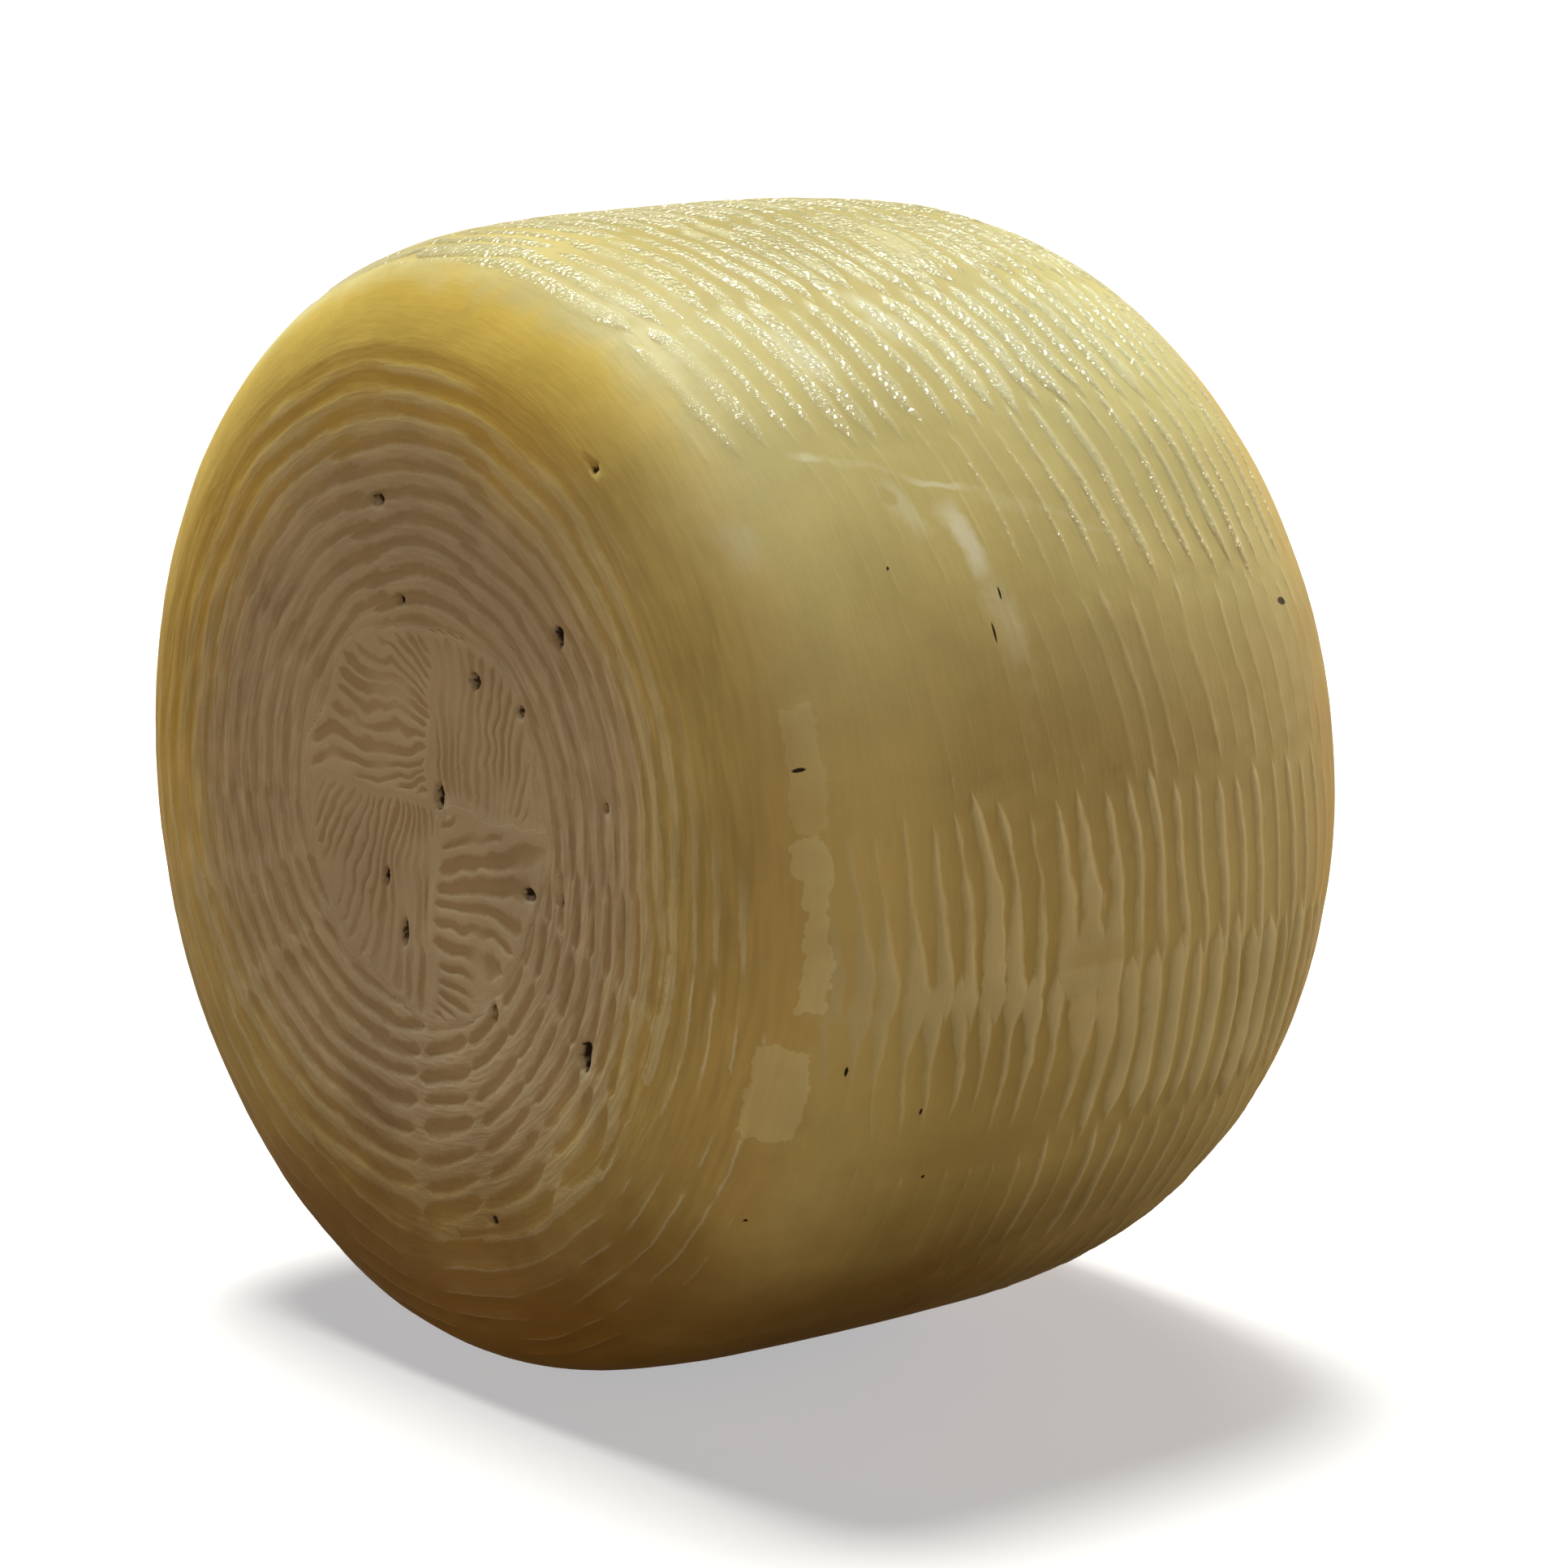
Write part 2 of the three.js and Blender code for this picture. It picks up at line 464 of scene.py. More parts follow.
# All relief together, in millimetres out from the drum, with the slow unevenness of a hand-pressed lump
RING_FACING = 0.25
DRUM_LUMPS = (0.40, 38)
RIND_LUMPS = (0.12, 11)
FACE_LUMPS = (0.05, 2.4)
FACE_LUMP_FACING = (0.6, 0.9)
ring_depth *= (facing > RING_FACING) * (1 - filmed)
ring_depth *= smooth(0, CROSS_GAP, ragged_radii - CROSS_RADIUS)
ring_depth = np.where(in_cross, stem_depth, ring_depth)
(first_turn, first_half), (second_turn, second_half) = ring_dents
ring_dents = [
    (np.where(in_cross, stem_turn, first_turn), np.where(in_cross, stem_half, first_half)),
    (second_turn, np.where(in_cross, NO_MARK, second_half)),
]
side_depth *= 1 - FILM_COVERS * filmed
relief = SIDE_DEPTH * side_depth * (ridge_height(side_ridges, SIDE_SOFT) - 0.5)
relief += RING_DEPTH * ring_depth * (0.5 - ridge_height(ring_dents, RING_SOFT))
relief += unevenness(41, *DRUM_LUMPS) + unevenness(42, *RIND_LUMPS) + FILM_RISE * filmed
relief += smooth(*FACE_LUMP_FACING, facing) * unevenness(43, *FACE_LUMPS)

# Pinholes in the shown face: place across and up from the middle, width and height, in millimetres
PINHOLES = [
    (39.2, 36.4, 3.4, 3.6),
    (46.0, -31.4, 3.4, 5.4),
    (2.4, 4.4, 2.6, 4.6),
    (14.1, 25.6, 3.2, 2.8),
    (27.5, 22.4, 2.2, 2.1),
    (-10.5, 53.4, 3.8, 2.0),
    (49.0, 64.8, 1.5, 1.8),
    (-7.8, -20.7, 2.2, 5.2),
    (-12.9, -11.8, 1.9, 3.2),
    (29.0, -7.8, 4.6, 2.2),
    (38.8, -7.1, 1.8, 1.8),
    (52.1, 10.5, 1.7, 1.7),
    (19.2, -29.5, 2.2, 3.2),
    (21.2, -64.4, 2.2, 1.4),
    (-6.0, 36.9, 2.4, 1.6),
]
PINHOLE_DEPTH = 2.0
PINHOLE_WALL = (-0.2, 0.45)
PINHOLE_FACING = -0.3
holes = np.full(len(spots), FAR_OUTSIDE)
for hole_across, hole_up, wide, high in PINHOLES:
    away = np.hypot((spots[:, 0] - hole_across) / wide, (spots[:, 2] - hole_up) / high) * 2
    holes = np.maximum(holes, np.where(normal_axial < PINHOLE_FACING, 1 - away, FAR_OUTSIDE))
relief -= PINHOLE_DEPTH * smooth(*PINHOLE_WALL, holes)

placed = spots.copy()
placed[:, 0] += relief * normal_out * rightwards
placed[:, 1] += relief * normal_axial
placed[:, 2] += relief * normal_out * upwards
placed[:, 2] = np.maximum(placed[:, 2], -AXIS_HEIGHT) + AXIS_HEIGHT
wheel_mesh.vertices.foreach_set("co", (placed * MM).astype(np.float32).ravel())

# What the rind's colour and fine relief are made from, kept with each point
SIDE_FACING = 0.62
on_side = facing < SIDE_FACING
point_values = {
    "angle": angles,
    "hole": np.maximum(holes, -1),
    "film": film,
    "depth": np.where(on_side, side_depth, ring_depth),
    "dented": np.where(on_side, 0, 1),
    "thin": np.where(on_side, 0, thin_crests),
}
for name, side_set, ring_set in zip(("first", "second"), side_ridges, ring_dents):
    point_values["turn_" + name] = np.where(on_side, side_set[0], ring_set[0])
    point_values["half_" + name] = np.where(on_side, side_set[1], ring_set[1])
for name, values in point_values.items():
    layer = wheel_mesh.attributes.new(name, "FLOAT", "POINT")
    layer.data.foreach_set("value", values.astype(np.float32))
wheel_mesh.polygons.foreach_set("use_smooth", np.ones(len(wheel_mesh.polygons), dtype=bool))
wheel_mesh.update()
wheel = bpy.data.objects.new("pecorino_wheel", wheel_mesh)
bpy.context.scene.collection.objects.link(wheel)

thin = wheel.modifiers.new("thin", "DECIMATE")
thin.ratio = KEPT_TRIANGLES / (2 * len(wheel_mesh.polygons))
thinned = bpy.data.meshes.new_from_object(wheel.evaluated_get(bpy.context.evaluated_depsgraph_get()))
wheel.modifiers.clear()
wheel.data = thinned
bpy.data.meshes.remove(wheel_mesh)

# The rind: straw yellow and oily on the side, golden on the rims, dull pinkish beige on the faces
rind = bpy.data.materials.new("rind")
rind.use_nodes = True
nodes = rind.node_tree.nodes
links = rind.node_tree.links
shader = nodes["Principled BSDF"]


def node(kind, inputs=(), **settings):
    """A new node of the rind with its settings, and with its inputs linked or set."""
    made = nodes.new(kind)
    for key, value in settings.items():
        setattr(made, key, value)
    for socket, value in dict(inputs).items():
        if isinstance(value, bpy.types.NodeSocket):
            links.new(value, made.inputs[socket])
        else:
            made.inputs[socket].default_value = value
    return made


def attribute(name):
    return node("ShaderNodeAttribute", attribute_name=name).outputs["Fac"]


def calculate(operation, first, second=0.0):
    return node("ShaderNodeMath", {0: first, 1: second}, operation=operation).outputs[0]


def add(first, second):
    return calculate("ADD", first, second)


def times(first, second):
    return calculate("MULTIPLY", first, second)


def higher(first, second):
    return calculate("MAXIMUM", first, second)


def vectors(operation, *parts):
    return node("ShaderNodeVectorMath", dict(enumerate(parts)), operation=operation)


def ramp(value, low, high, to_low=0.0, to_high=1.0):
    """From one value to another while the given value goes from low to high, easing in and out."""
    return node(
        "ShaderNodeMapRange",
        {0: value, 1: low, 2: high, 3: to_low, 4: to_high},
        interpolation_type="SMOOTHSTEP",
    ).outputs[0]


def mix(share, first, second, blend="MIX"):
    return node(
        "ShaderNodeMix", {0: share, 6: first, 7: second}, data_type="RGBA", blend_type=blend
    ).outputs[2]


def tinted(share, base, tint):
    """The base colour, multiplied by the tint where the share is 1."""
    return mix(share, base, mix(1.0, base, tint, "MULTIPLY"))


# Places on the rind in millimetres, and noise with lumps of a size in millimetres. Most noise lies within
# the first range, and fine noise is stretched from the wider one
NOISE_RANGE = (0.3, 0.7)
FINE_NOISE_RANGE = (0.25, 0.75)
RIGHT_RANGE = (0, 20)
object_place = vectors("MULTIPLY", node("ShaderNodeTexCoord").outputs["Object"], (1 / MM, 1 / MM, 1 / MM))
object_place = object_place.outputs[0]


def noise(size, detail=3.0, roughness=0.55, place=object_place):
    return node(
        "ShaderNodeTexNoise",
        {"Vector": place, "Scale": 1 / size, "Detail": detail, "Roughness": roughness},
    ).outputs["Fac"]


from_axis = vectors("ADD", object_place, (0, 0, -AXIS_HEIGHT)).outputs[0]
across_axis = vectors("MULTIPLY", from_axis, (1, 0, 1)).outputs[0]
radius_here = vectors("LENGTH", across_axis).outputs["Value"]
axis_parts = node("ShaderNodeSeparateXYZ", {0: from_axis})
x_here = axis_parts.outputs["X"]
z_here = axis_parts.outputs["Z"]
way_here = attribute("way")
angle_here = attribute("angle")
on_right = ramp(x_here, *RIGHT_RANGE)

# Fine streaks that run the way the rush ran, long round the axis and short along the outline, and coarser
# strands of it at the right and the left of the faces
STREAK_LENGTH = 7.0
STREAK_WIDTH = 0.9
STREAK_RADII = (26, 40)
STRAND_SCALE = 0.5
STRAND_SIDES = (0.55, 0.95)
STRAND_RADII = (30, 44)
streak_place = node(
    "ShaderNodeCombineXYZ",
    {
        0: times(x_here, STREAK_WIDTH / STREAK_LENGTH),
        1: way_here,
        2: times(z_here, STREAK_WIDTH / STREAK_LENGTH),
    },
).outputs[0]
streak = ramp(noise(STREAK_WIDTH, 2.0, 0.5, streak_place), *NOISE_RANGE, -1, 1)
streak = times(streak, ramp(radius_here, *STREAK_RADII))
strand_place = vectors("MULTIPLY", streak_place, (STRAND_SCALE, STRAND_SCALE, STRAND_SCALE)).outputs[0]
strand = ramp(noise(STREAK_WIDTH, 1.0, 0.5, strand_place), *NOISE_RANGE, -1, 1)
aside = calculate("DIVIDE", calculate("ABSOLUTE", x_here), radius_here)
strand = times(strand, ramp(aside, *STRAND_SIDES))
strand = times(strand, ramp(radius_here, *STRAND_RADII))

# The marks once more, sharp: the higher of the two sets, with a slightly ragged edge. On the side they are
# ridges, and on the faces dents with crests between them
DULL_RADII = (58, 90)
MARK_EDGE = 0.24
THIN_MARK_EDGE = 0.09
RAGGED_SIDE = 0.025
RAGGED_FACE = 0.05
MARKED_DEPTH = 0.7
dull = ramp(radius_here, *DULL_RADII, 1.0, 0.0)
thin_here = attribute("thin")
mark_edge = ramp(thin_here, 0, 1, MARK_EDGE, THIN_MARK_EDGE)
fine_noise = noise(1.5, 2.0)
ragged = times(ramp(fine_noise, *FINE_NOISE_RANGE, -1, 1), ramp(dull, 0, 1, RAGGED_SIDE, RAGGED_FACE))
marks = 0.0
for name in ("first", "second"):
    turn_here = add(attribute("turn_" + name), ragged)
    offset_here = calculate("ABSOLUTE", calculate("SUBTRACT", calculate("FRACT", turn_here), 0.5))
    inside = calculate("SUBTRACT", attribute("half_" + name), offset_here)
    marks = higher(marks, ramp(inside, 0.0, mark_edge))
marked = ramp(attribute("depth"), 0.0, MARKED_DEPTH)
dents = times(marks, marked)
crest = times(calculate("ABSOLUTE", calculate("SUBTRACT", attribute("dented"), marks)), marked)

# Colours of the faces, with painted shade darkening their dents, and of the side: paler ridges, and valleys
# that are pale at the front, dark in the middle and paler again at the back
FACE_CREST = (0.705, 0.58, 0.41, 1)
FACE_DENT_SHADE = (0.565, 0.43, 0.27, 1)
SIDE_CREST = (0.83, 0.76, 0.445, 1)
SIDE_VALLEY_FRONT = (0.87, 0.735, 0.317, 1)
SIDE_VALLEY = (0.595, 0.482, 0.181, 1)
SIDE_VALLEY_BACK = (0.72, 0.625, 0.285, 1)
LEFT_TOP_SLANT = 0.6
FRONT_HEIGHTS = (15, 50)
FRONT_SHARE_ABOVE = 0.35
FRONT_LIT_LEFT_TOP = (62, 100)
FRONT_WAYS = (130, 98)
BACK_WAYS = (135, 200)
face_colour = mix(dents, FACE_CREST, FACE_DENT_SHADE)
left_top = calculate("SUBTRACT", z_here, times(x_here, LEFT_TOP_SLANT))
front_share = ramp(z_here, *FRONT_HEIGHTS, 1.0, FRONT_SHARE_ABOVE)
# The front valleys are made paler towards the top left as painted light
front_share = higher(front_share, ramp(left_top, *FRONT_LIT_LEFT_TOP))
front_share = times(ramp(way_here, *FRONT_WAYS), front_share)
side_valley = mix(front_share, SIDE_VALLEY, SIDE_VALLEY_FRONT)
side_valley = mix(ramp(way_here, *BACK_WAYS), side_valley, SIDE_VALLEY_BACK)
side_colour = mix(crest, side_valley, SIDE_CREST)

# The rims: gold, deeper at the top left with a painted glow of light shining through the rim, and duller on
# the right, with pale crests that are brightened in part as painted highlight
RIM_GOLD = (0.79, 0.62, 0.245, 1)
RIM_GLOW_TOP = (0.86, 0.615, 0.135, 1)
RIM_RIGHT_TINT = (0.89, 0.88, 0.82, 1)
RIM_CREST_HIGHLIGHT = (0.95, 0.88, 0.58, 1)
GLOW_LEFT_TOP = (15, 60)
GLOW_TOP_WAYS = (170, 110)
GLOW_TOP_BEHIND = 0.3
RIM_RIGHT_ACROSS = (20, 60)
RIM_RIGHT_RADII = (92, 82)
RIM_CREST_HIGHLIGHT_HEIGHTS = (-10, 30)
RIM_CREST_HIGHLIGHT_BELOW = 0.50
RIM_CREST_HIGHLIGHT_ABOVE = 0.38
THIN_CREST_HIGHLIGHT_SHARE = 0.9
glow_top = times(ramp(left_top, *GLOW_LEFT_TOP), ramp(way_here, *GLOW_TOP_WAYS, GLOW_TOP_BEHIND, 1.0))
rim_gold = mix(glow_top, RIM_GOLD, RIM_GLOW_TOP)
rim_right = times(ramp(x_here, *RIM_RIGHT_ACROSS), ramp(radius_here, *RIM_RIGHT_RADII))
rim_gold = tinted(rim_right, rim_gold, RIM_RIGHT_TINT)
# The pale crest colour is partly the crests' own and partly painted highlight, strongest on the thin crests
# and low on the rim where light catches them
rim_crest_highlight_share = ramp(z_here, *RIM_CREST_HIGHLIGHT_HEIGHTS, RIM_CREST_HIGHLIGHT_BELOW, RIM_CREST_HIGHLIGHT_ABOVE)
rim_crest_highlight_share = higher(rim_crest_highlight_share, times(thin_here, THIN_CREST_HIGHLIGHT_SHARE))
rim_colour = mix(times(crest, rim_crest_highlight_share), rim_gold, RIM_CREST_HIGHLIGHT)

# Where the face's colour gives way to the rim's, lower down and on the right sooner, and the rim's to the
# side's, with uneven edges
FACE_TO_RIM = (54, 77)
FACE_EDGE_REACH = 2.8
SOONER_BELOW = -0.09
SOONER_RIGHT = 0.05
RIM_TO_SIDE = (89.5, 95)
RIM_EDGE_REACH = 1.2
RIM_EDGE_LEFT_TOP = (20, 80)
RIM_EDGE_SHIFTS = (-1.8, 1.6)
sooner = add(higher(times(z_here, SOONER_BELOW), 0.0), higher(times(x_here, SOONER_RIGHT), 0.0))
face_edge = add(radius_here, ramp(noise(17.0, 3.0, 0.6), *NOISE_RANGE, -FACE_EDGE_REACH, FACE_EDGE_REACH))
colour = mix(ramp(add(face_edge, sooner), *FACE_TO_RIM), face_colour, rim_colour)
rim_edge = add(radius_here, ramp(noise(9.0, 2.0), *NOISE_RANGE, -RIM_EDGE_REACH, RIM_EDGE_REACH))
rim_edge = add(rim_edge, ramp(left_top, *RIM_EDGE_LEFT_TOP, *RIM_EDGE_SHIFTS))
colour = mix(ramp(rim_edge, *RIM_TO_SIDE), colour, side_colour)

# Blotches, and the streaks and strands as light and dark
BLOTCH_TONES = (0.90, 1.06)
STREAK_TONE_SIDE = 0.015
STREAK_TONE_FACE = 0.05
STRAND_TONE = 0.08
STRAND_TONE_RADII = (94, 86)
blotch = ramp(noise(28.0, 4.0), *NOISE_RANGE, *BLOTCH_TONES)
grain = add(1.0, times(streak, ramp(dull, 0, 1, STREAK_TONE_SIDE, STREAK_TONE_FACE)))
grain = add(grain, times(strand, ramp(radius_here, *STRAND_TONE_RADII, 0.0, STRAND_TONE)))
tone = times(blotch, grain)
colour = mix(1.0, colour, node("ShaderNodeCombineColor", {0: tone, 1: tone, 2: tone}).outputs[0], "MULTIPLY")

# The upper side, paler with painted sheen except at the back, and the very top, darker with painted shade
UPPER_SHEEN_TINT = (1.04, 1.05, 1.13, 1)
UPPER_SHEEN_HEIGHTS = (14, 38)
UPPER_SHEEN_RADII = (86, 95)
UPPER_SHEEN_WAYS = (195, 150)
TOP_SHADE_TINT = (0.85, 0.78, 0.63, 1)
TOP_SHADE_HEIGHTS = (80, 97)
upper_sheen = times(ramp(z_here, *UPPER_SHEEN_HEIGHTS), ramp(radius_here, *UPPER_SHEEN_RADII))
upper_sheen = times(upper_sheen, ramp(way_here, *UPPER_SHEEN_WAYS))
colour = tinted(upper_sheen, colour, UPPER_SHEEN_TINT)
colour = tinted(ramp(z_here, *TOP_SHADE_HEIGHTS), colour, TOP_SHADE_TINT)

# The underside, darker with painted shade low down where the wheel rests, reaching higher on the face than
# on the side
CONTACT_SHADE_TINT = (0.41, 0.29, 0.18, 1)
CONTACT_SHADE_HEIGHTS = (60, 11)
CONTACT_SHADE_EDGE_REACH = 4
CONTACT_SHADE_FACE_WAYS = (88, 110)
CONTACT_SHADE_SHIFTS = (-4, 2.5)
CONTACT_SHADE_BACK_WAYS = (150, 200)
CONTACT_SHADE_BACK_SHARE = 0.7
contact_shade_height = add(z_here, AXIS_HEIGHT)
contact_shade_height = add(contact_shade_height, ramp(noise(20.0, 3.0), *NOISE_RANGE, -CONTACT_SHADE_EDGE_REACH, CONTACT_SHADE_EDGE_REACH))
contact_shade_height = add(contact_shade_height, ramp(way_here, *CONTACT_SHADE_FACE_WAYS, *CONTACT_SHADE_SHIFTS))
contact_shade = times(ramp(contact_shade_height, *CONTACT_SHADE_HEIGHTS), ramp(way_here, *CONTACT_SHADE_BACK_WAYS, 1.0, CONTACT_SHADE_BACK_SHARE))
colour = tinted(contact_shade, colour, CONTACT_SHADE_TINT)

# The film patches, with crisp ragged edges, fainter on the uppermost one
FILM_TINT = (1.16, 1.27, 1.60, 1)
FILM_RAGGED = 0.6
FILM_CRISP = 0.12
FILM_FAINT_ANGLES = (6.6, 7.4)
FILM_FAINT_SHARE = 0.5
film_edge = add(attribute("film"), ramp(noise(2.2, 3.0), *FINE_NOISE_RANGE, -FILM_RAGGED, FILM_RAGGED))
film_share = ramp(film_edge, -FILM_CRISP, FILM_CRISP)
film_share = times(film_share, ramp(angle_here, *FILM_FAINT_ANGLES, 1.0, FILM_FAINT_SHARE))
colour = tinted(film_share, colour, FILM_TINT)

# Pale lines rubbed across the side, wandering and broken where the noise is under the gap value: from way
# and angle, to way and angle, half width, gap value and strength
PALE_MARK = (0.90, 0.86, 0.66, 1)
RUBBED_LINES = [
    (102, 45.5, 174, 29.5, 1.3, 0.44, 0.12),
    (109, 43.8, 118, 42.2, 1.5, 0.20, 0.55),
    (128, 39.8, 142, 36.4, 1.3, 0.20, 0.50),
    (134, 37.0, 138, 27.0, 3.6, 0.30, 0.70),
    (136.5, 29.5, 140.5, 18.5, 5.0, 0.34, 0.30),
    (138, 20.0, 144, 10.0, 2.4, 0.42, 0.12),
    (142, 64.0, 148, 54.0, 4.5, 0.30, 0.40),
    (121, 60.0, 127, 50.0, 3.6, 0.30, 0.35),
    (123, 40.0, 129, 32.0, 3.6, 0.34, 0.30),
    (94, 40.0, 98, 32.0, 3.6, 0.36, 0.25),
]
LINE_WANDER = 1.2
LINE_CORE = 0.2
LINE_END = 6
LINE_GAP_EDGE = 0.12
round_here = times(angle_here, DEGREE_LENGTH)
rind_place = node("ShaderNodeCombineXYZ", {0: way_here, 1: round_here, 2: 1.0}).outputs[0]
line_wander = ramp(noise(9.0, 3.0), *NOISE_RANGE, -LINE_WANDER, LINE_WANDER)
line_gaps = noise(7.0, 2.0)


def measure(direction, start):
    """How far the place on the rind lies from the start in the given direction, in millimetres."""
    row = (direction.x, direction.y, -direction.dot(start))
    return vectors("DOT_PRODUCT", rind_place, row).outputs["Value"]


rubbed = 0.0
for from_way, from_angle, to_way, to_angle, half_width, gaps, strength in RUBBED_LINES:
    start = Vector((from_way, from_angle * DEGREE_LENGTH))
    forward = Vector((to_way, to_angle * DEGREE_LENGTH)) - start
    length = forward.length
    forward.normalize()
    along_line = measure(forward, start)
    across_line = add(measure(Vector((forward.y, -forward.x)), start), line_wander)
    line = ramp(calculate("ABSOLUTE", across_line), half_width, half_width * LINE_CORE, 0.0, strength)
    ends = times(ramp(along_line, 0, LINE_END), ramp(along_line, length, length - LINE_END))
    broken = times(ends, ramp(line_gaps, gaps, gaps + LINE_GAP_EDGE))
    rubbed = higher(rubbed, times(line, broken))
colour = mix(times(rubbed, on_right), colour, PALE_MARK)

# Pinholes darkened with painted shade inside, and dark specks on the side: way along the outline, angle, and
# half length and half height
HOLE_SHADE_AND_SPECK_DARK = (0.035, 0.020, 0.009, 1)
SPECKS = [
    (95.7, 13.3, 1.2, 0.40),
    (203.0, 22.6, 1.4, 0.8),
    (135.6, 23.0, 0.28, 1.9),
    (139.0, 26.6, 0.25, 1.3),
    (118.8, 30.4, 0.35, 0.35),
    (104.4, -16.5, 0.35, 1.0),
    (120.6, -21.7, 0.3, 0.7),
    (126.3, -30.0, 0.4, 0.4),
    (96.7, -35.2, 0.4, 0.4),
]
SPECK_EDGE = (1.1, 0.7)
HOLE_EDGE = (-0.05, 0.30)
HOLE_RAGGED = 0.2
specks = 0.0
for speck_way, speck_angle, half_long, half_high in SPECKS:
    scale = (1 / half_long, 1 / half_high, 0)
    shift = (-speck_way / half_long, -speck_angle * DEGREE_LENGTH / half_high, 0)
    from_speck = vectors("MULTIPLY_ADD", rind_place, scale, shift).outputs[0]
    specks = higher(specks, ramp(vectors("LENGTH", from_speck).outputs["Value"], *SPECK_EDGE))
hole_here = add(attribute("hole"), ramp(fine_noise, *FINE_NOISE_RANGE, -HOLE_RAGGED, HOLE_RAGGED))
colour = mix(higher(ramp(hole_here, *HOLE_EDGE), times(specks, on_right)), colour, HOLE_SHADE_AND_SPECK_DARK)
links.new(colour, shader.inputs["Base Color"])

# Dull faces, a satin side, and a film of oil in drops on its upper ridges that catch the light
SIDE_ROUGHNESS = 0.54
FACE_ROUGHNESS = 0.66
ROUGHNESS_REACH = 0.06
OILED_CRESTS = (0.10, 0.45)
OILED_RADII = (89, 93)
OILED_HEIGHTS = (30, 55)
OILED_PATCHES = (0.35, 0.47)
OILED_LEAST = 0.25
DROP_RISE = 0.75
roughness = ramp(noise(4.5, 2.0), *NOISE_RANGE, -ROUGHNESS_REACH, ROUGHNESS_REACH)
roughness = add(ramp(dull, 0, 1, SIDE_ROUGHNESS, FACE_ROUGHNESS), roughness)
links.new(roughness, shader.inputs["Roughness"])
shader.inputs["IOR"].default_value = 1.46
shader.inputs["Specular IOR Level"].default_value = 0.30
oiled = times(ramp(crest, *OILED_CRESTS), ramp(radius_here, *OILED_RADII))
oiled = times(oiled, ramp(z_here, *OILED_HEIGHTS))
oiled = times(oiled, ramp(noise(14.0, 2.0), *OILED_PATCHES, OILED_LEAST, 1.0))
links.new(oiled, shader.inputs["Coat Weight"])
shader.inputs["Coat Roughness"].default_value = 0.09
shader.inputs["Coat IOR"].default_value = 1.5
drop_rise = times(noise(0.9, 0.0), DROP_RISE)
drop_bump = node("ShaderNodeBump", {"Height": drop_rise, "Strength": 1.0, "Distance": MM})
links.new(drop_bump.outputs[0], shader.inputs["Coat Normal"])

# Fine relief of the side and of the faces, in millimetres: the marks' edges, streaks, strands and grain
MARK_RISE = (0.12, 0.10)
STREAK_RISE = (0.007, 0.042)
STRAND_RISE = (0.0, 0.16)
GRAIN_RISE = (0.024, 0.09)
rise = times(crest, ramp(dull, 0, 1, *MARK_RISE))
rise = add(rise, times(streak, ramp(dull, 0, 1, *STREAK_RISE)))
rise = add(rise, times(strand, ramp(dull, 0, 1, *STRAND_RISE)))
rise = add(rise, times(fine_noise, ramp(dull, 0, 1, *GRAIN_RISE)))
bump = node("ShaderNodeBump", {"Height": rise, "Strength": 1.0, "Distance": MM})
links.new(bump.outputs[0], shader.inputs["Normal"])

wheel.data.materials.clear()
wheel.data.materials.append(rind)
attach(wheel, "root")
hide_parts("cheese_wheel")

# The floor and the light
# A wide pale floor, two soft lamps above, a low warm one from behind on the right, small far lamps whose
# reflections glint on the oil, and a dim warm surround for the shaded sides.
FLOOR_HALF_WIDTH = 20
FLOOR_COLOUR = (0.91, 0.83, 0.84, 1)
FLOOR_ROUGHNESS = 0.9
FLOOR_GLOW = (0.86, 0.91, 0.98, 1)
FLOOR_GLOW_STRENGTH = 0.36
floor_bm = bmesh.new()
bmesh.ops.create_grid(floor_bm, x_segments=1, y_segments=1, size=FLOOR_HALF_WIDTH)
floor_mesh = bpy.data.meshes.new("floor")
floor_bm.to_mesh(floor_mesh)
floor_bm.free()
floor = bpy.data.objects.new("floor", floor_mesh)
bpy.context.scene.collection.objects.link(floor)
floor_paint = bpy.data.materials.new("floor_paint")
floor_paint.use_nodes = True
paint = floor_paint.node_tree.nodes["Principled BSDF"]
paint.inputs["Base Color"].default_value = FLOOR_COLOUR
paint.inputs["Roughness"].default_value = FLOOR_ROUGHNESS
paint.inputs["Emission Color"].default_value = FLOOR_GLOW
paint.inputs["Emission Strength"].default_value = FLOOR_GLOW_STRENGTH
floor_mesh.materials.append(floor_paint)
floor.visible_diffuse = False
floor.visible_glossy = False
floor.visible_shadow = False

# Lamps: where each one stands, its strength, how many degrees wide it is and its tint
PALE_LIGHT = (0.92, 1.0, 0.93)
WARM_LIGHT = (1.0, 0.78, 0.55)
LAMPS = [
    ((-0.28, 0.07, 0.957), 3.35, 26, PALE_LIGHT),
    ((-0.30, 0.30, 0.90), 0.60, 26, PALE_LIGHT),
    ((0.28, 0.95, 0.12), 0.60, 24, WARM_LIGHT),
]
MAIN_LAMPS = len(LAMPS)
GLINT_STRENGTH = 0.065
GLINT_WIDTH = 1.2
GLINT_DIRECTIONS = [
    (-0.21, 0.62, 0.75),
    (-0.50, 0.62, 0.58),
    (0.10, 0.62, 0.77),
    (-0.36, 0.70, 0.62),
    (-0.05, 0.50, 0.86),
    (0.0, -0.05, 1.0),
    (-0.12, 0.25, 0.96),
]
for direction in GLINT_DIRECTIONS:
    LAMPS.append((direction, GLINT_STRENGTH, GLINT_WIDTH, PALE_LIGHT))
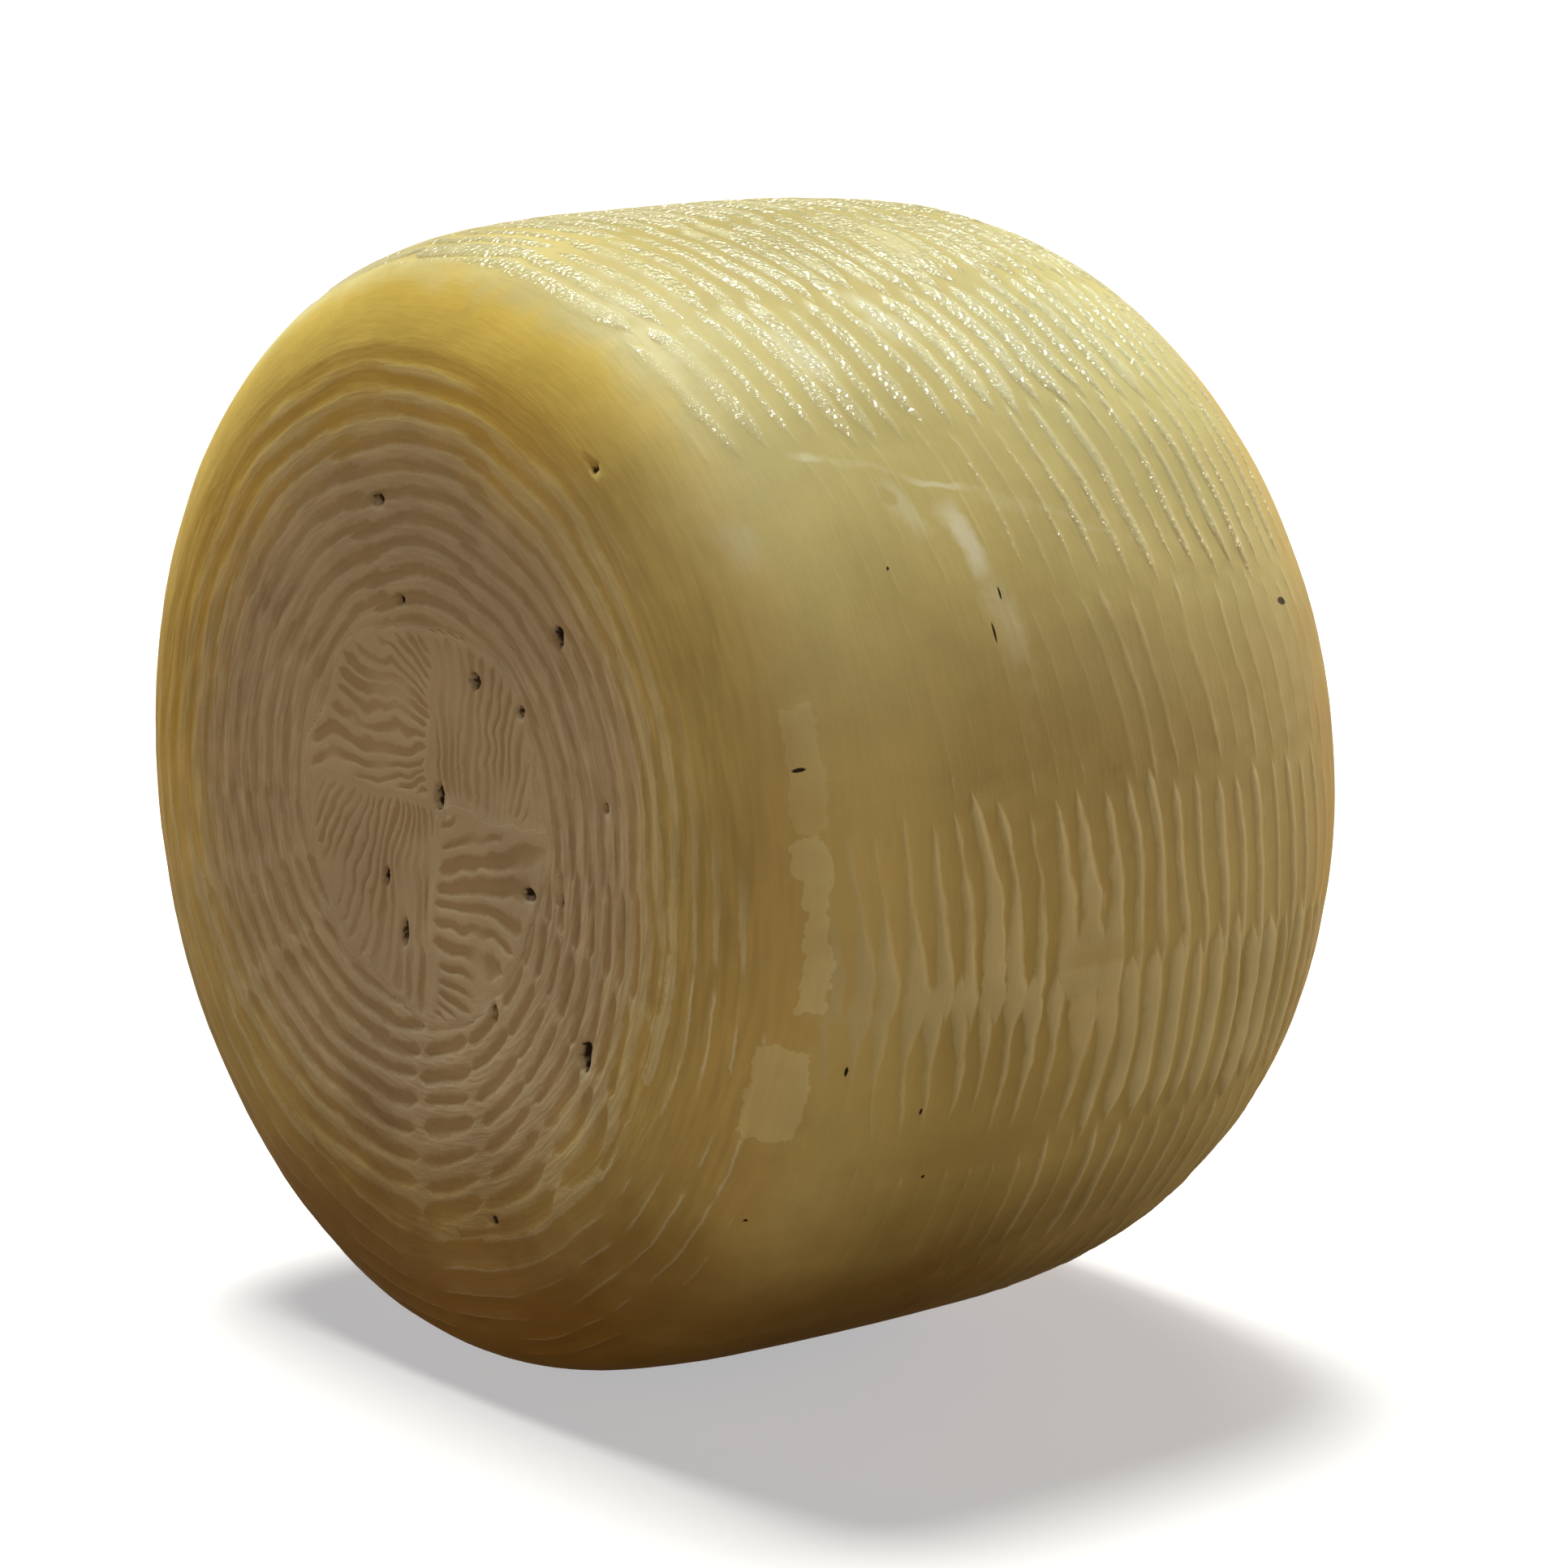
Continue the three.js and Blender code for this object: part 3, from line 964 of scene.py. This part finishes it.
for number, (direction, energy, wide, tint) in enumerate(LAMPS):
    lamp_data = bpy.data.lights.new("lamp_%d" % number, "SUN")
    lamp_data.energy = energy
    lamp_data.angle = math.radians(wide)
    lamp_data.color = tint
    lamp_data.use_shadow = number < MAIN_LAMPS
    lamp = bpy.data.objects.new("lamp_%d" % number, lamp_data)
    lamp.rotation_mode = "QUATERNION"
    lamp.rotation_quaternion = Vector(direction).to_track_quat("Z", "Y")
    bpy.context.scene.collection.objects.link(lamp)

# The surround: colours from straight below to straight above, as shares of the way
SURROUND = [
    (0.20, (0.0, 0.0, 0.0, 1)),
    (0.33, (0.38, 0.29, 0.20, 1)),
    (0.45, (0.83, 0.645, 0.44, 1)),
    (0.56, (0.83, 0.645, 0.44, 1)),
    (0.66, (0.0, 0.0, 0.0, 1)),
]
world = bpy.data.worlds.new("surround")
bpy.context.scene.world = world
world.use_nodes = True
world_nodes = world.node_tree.nodes
world_links = world.node_tree.links
sky_place = world_nodes.new("ShaderNodeTexCoord")
sky_parts = world_nodes.new("ShaderNodeSeparateXYZ")
world_links.new(sky_place.outputs["Generated"], sky_parts.inputs[0])
sky_height = world_nodes.new("ShaderNodeMapRange")
sky_height.inputs[1].default_value = -1
world_links.new(sky_parts.outputs["Z"], sky_height.inputs[0])
sky_colour = world_nodes.new("ShaderNodeValToRGB")
world_links.new(sky_height.outputs[0], sky_colour.inputs[0])
while len(sky_colour.color_ramp.elements) < len(SURROUND):
    sky_colour.color_ramp.elements.new(0.5)
for stop, (place, tint) in zip(sky_colour.color_ramp.elements, SURROUND):
    stop.position = place
    stop.color = tint
world_links.new(sky_colour.outputs[0], world_nodes["Background"].inputs["Color"])

# The camera
# A long lens at the photograph's angle, to the right of the shown face and a little above the wheel's
# middle, aimed slightly beside it so that the wheel stands in the frame as it does there.
CAMERA_AZIMUTH = math.radians(50.7)
CAMERA_ELEVATION = math.radians(11.2)
CAMERA_DISTANCE = 852 * MM
CAMERA_LENS = 110.6
CAMERA_SENSOR = 36
AIM_RIGHT = 7.2 * MM
AIM_DOWN = 2.3 * MM
wheel_middle = Vector((0, 0, AXIS_HEIGHT * MM))
back = Vector(
    (
        math.sin(CAMERA_AZIMUTH) * math.cos(CAMERA_ELEVATION),
        -math.cos(CAMERA_AZIMUTH) * math.cos(CAMERA_ELEVATION),
        math.sin(CAMERA_ELEVATION),
    )
)
right = Vector((math.cos(CAMERA_AZIMUTH), math.sin(CAMERA_AZIMUTH), 0))
camera_data = bpy.data.cameras.new("camera")
camera_data.sensor_width = CAMERA_SENSOR
camera_data.lens = CAMERA_LENS
camera = bpy.data.objects.new("camera", camera_data)
camera.location = wheel_middle + right * AIM_RIGHT - back.cross(right) * AIM_DOWN + back * CAMERA_DISTANCE
camera.rotation_mode = "QUATERNION"
camera.rotation_quaternion = back.to_track_quat("Z", "Y")
bpy.context.scene.collection.objects.link(camera)
bpy.context.scene.camera = camera
bpy.context.scene.view_settings.view_transform = "Standard"
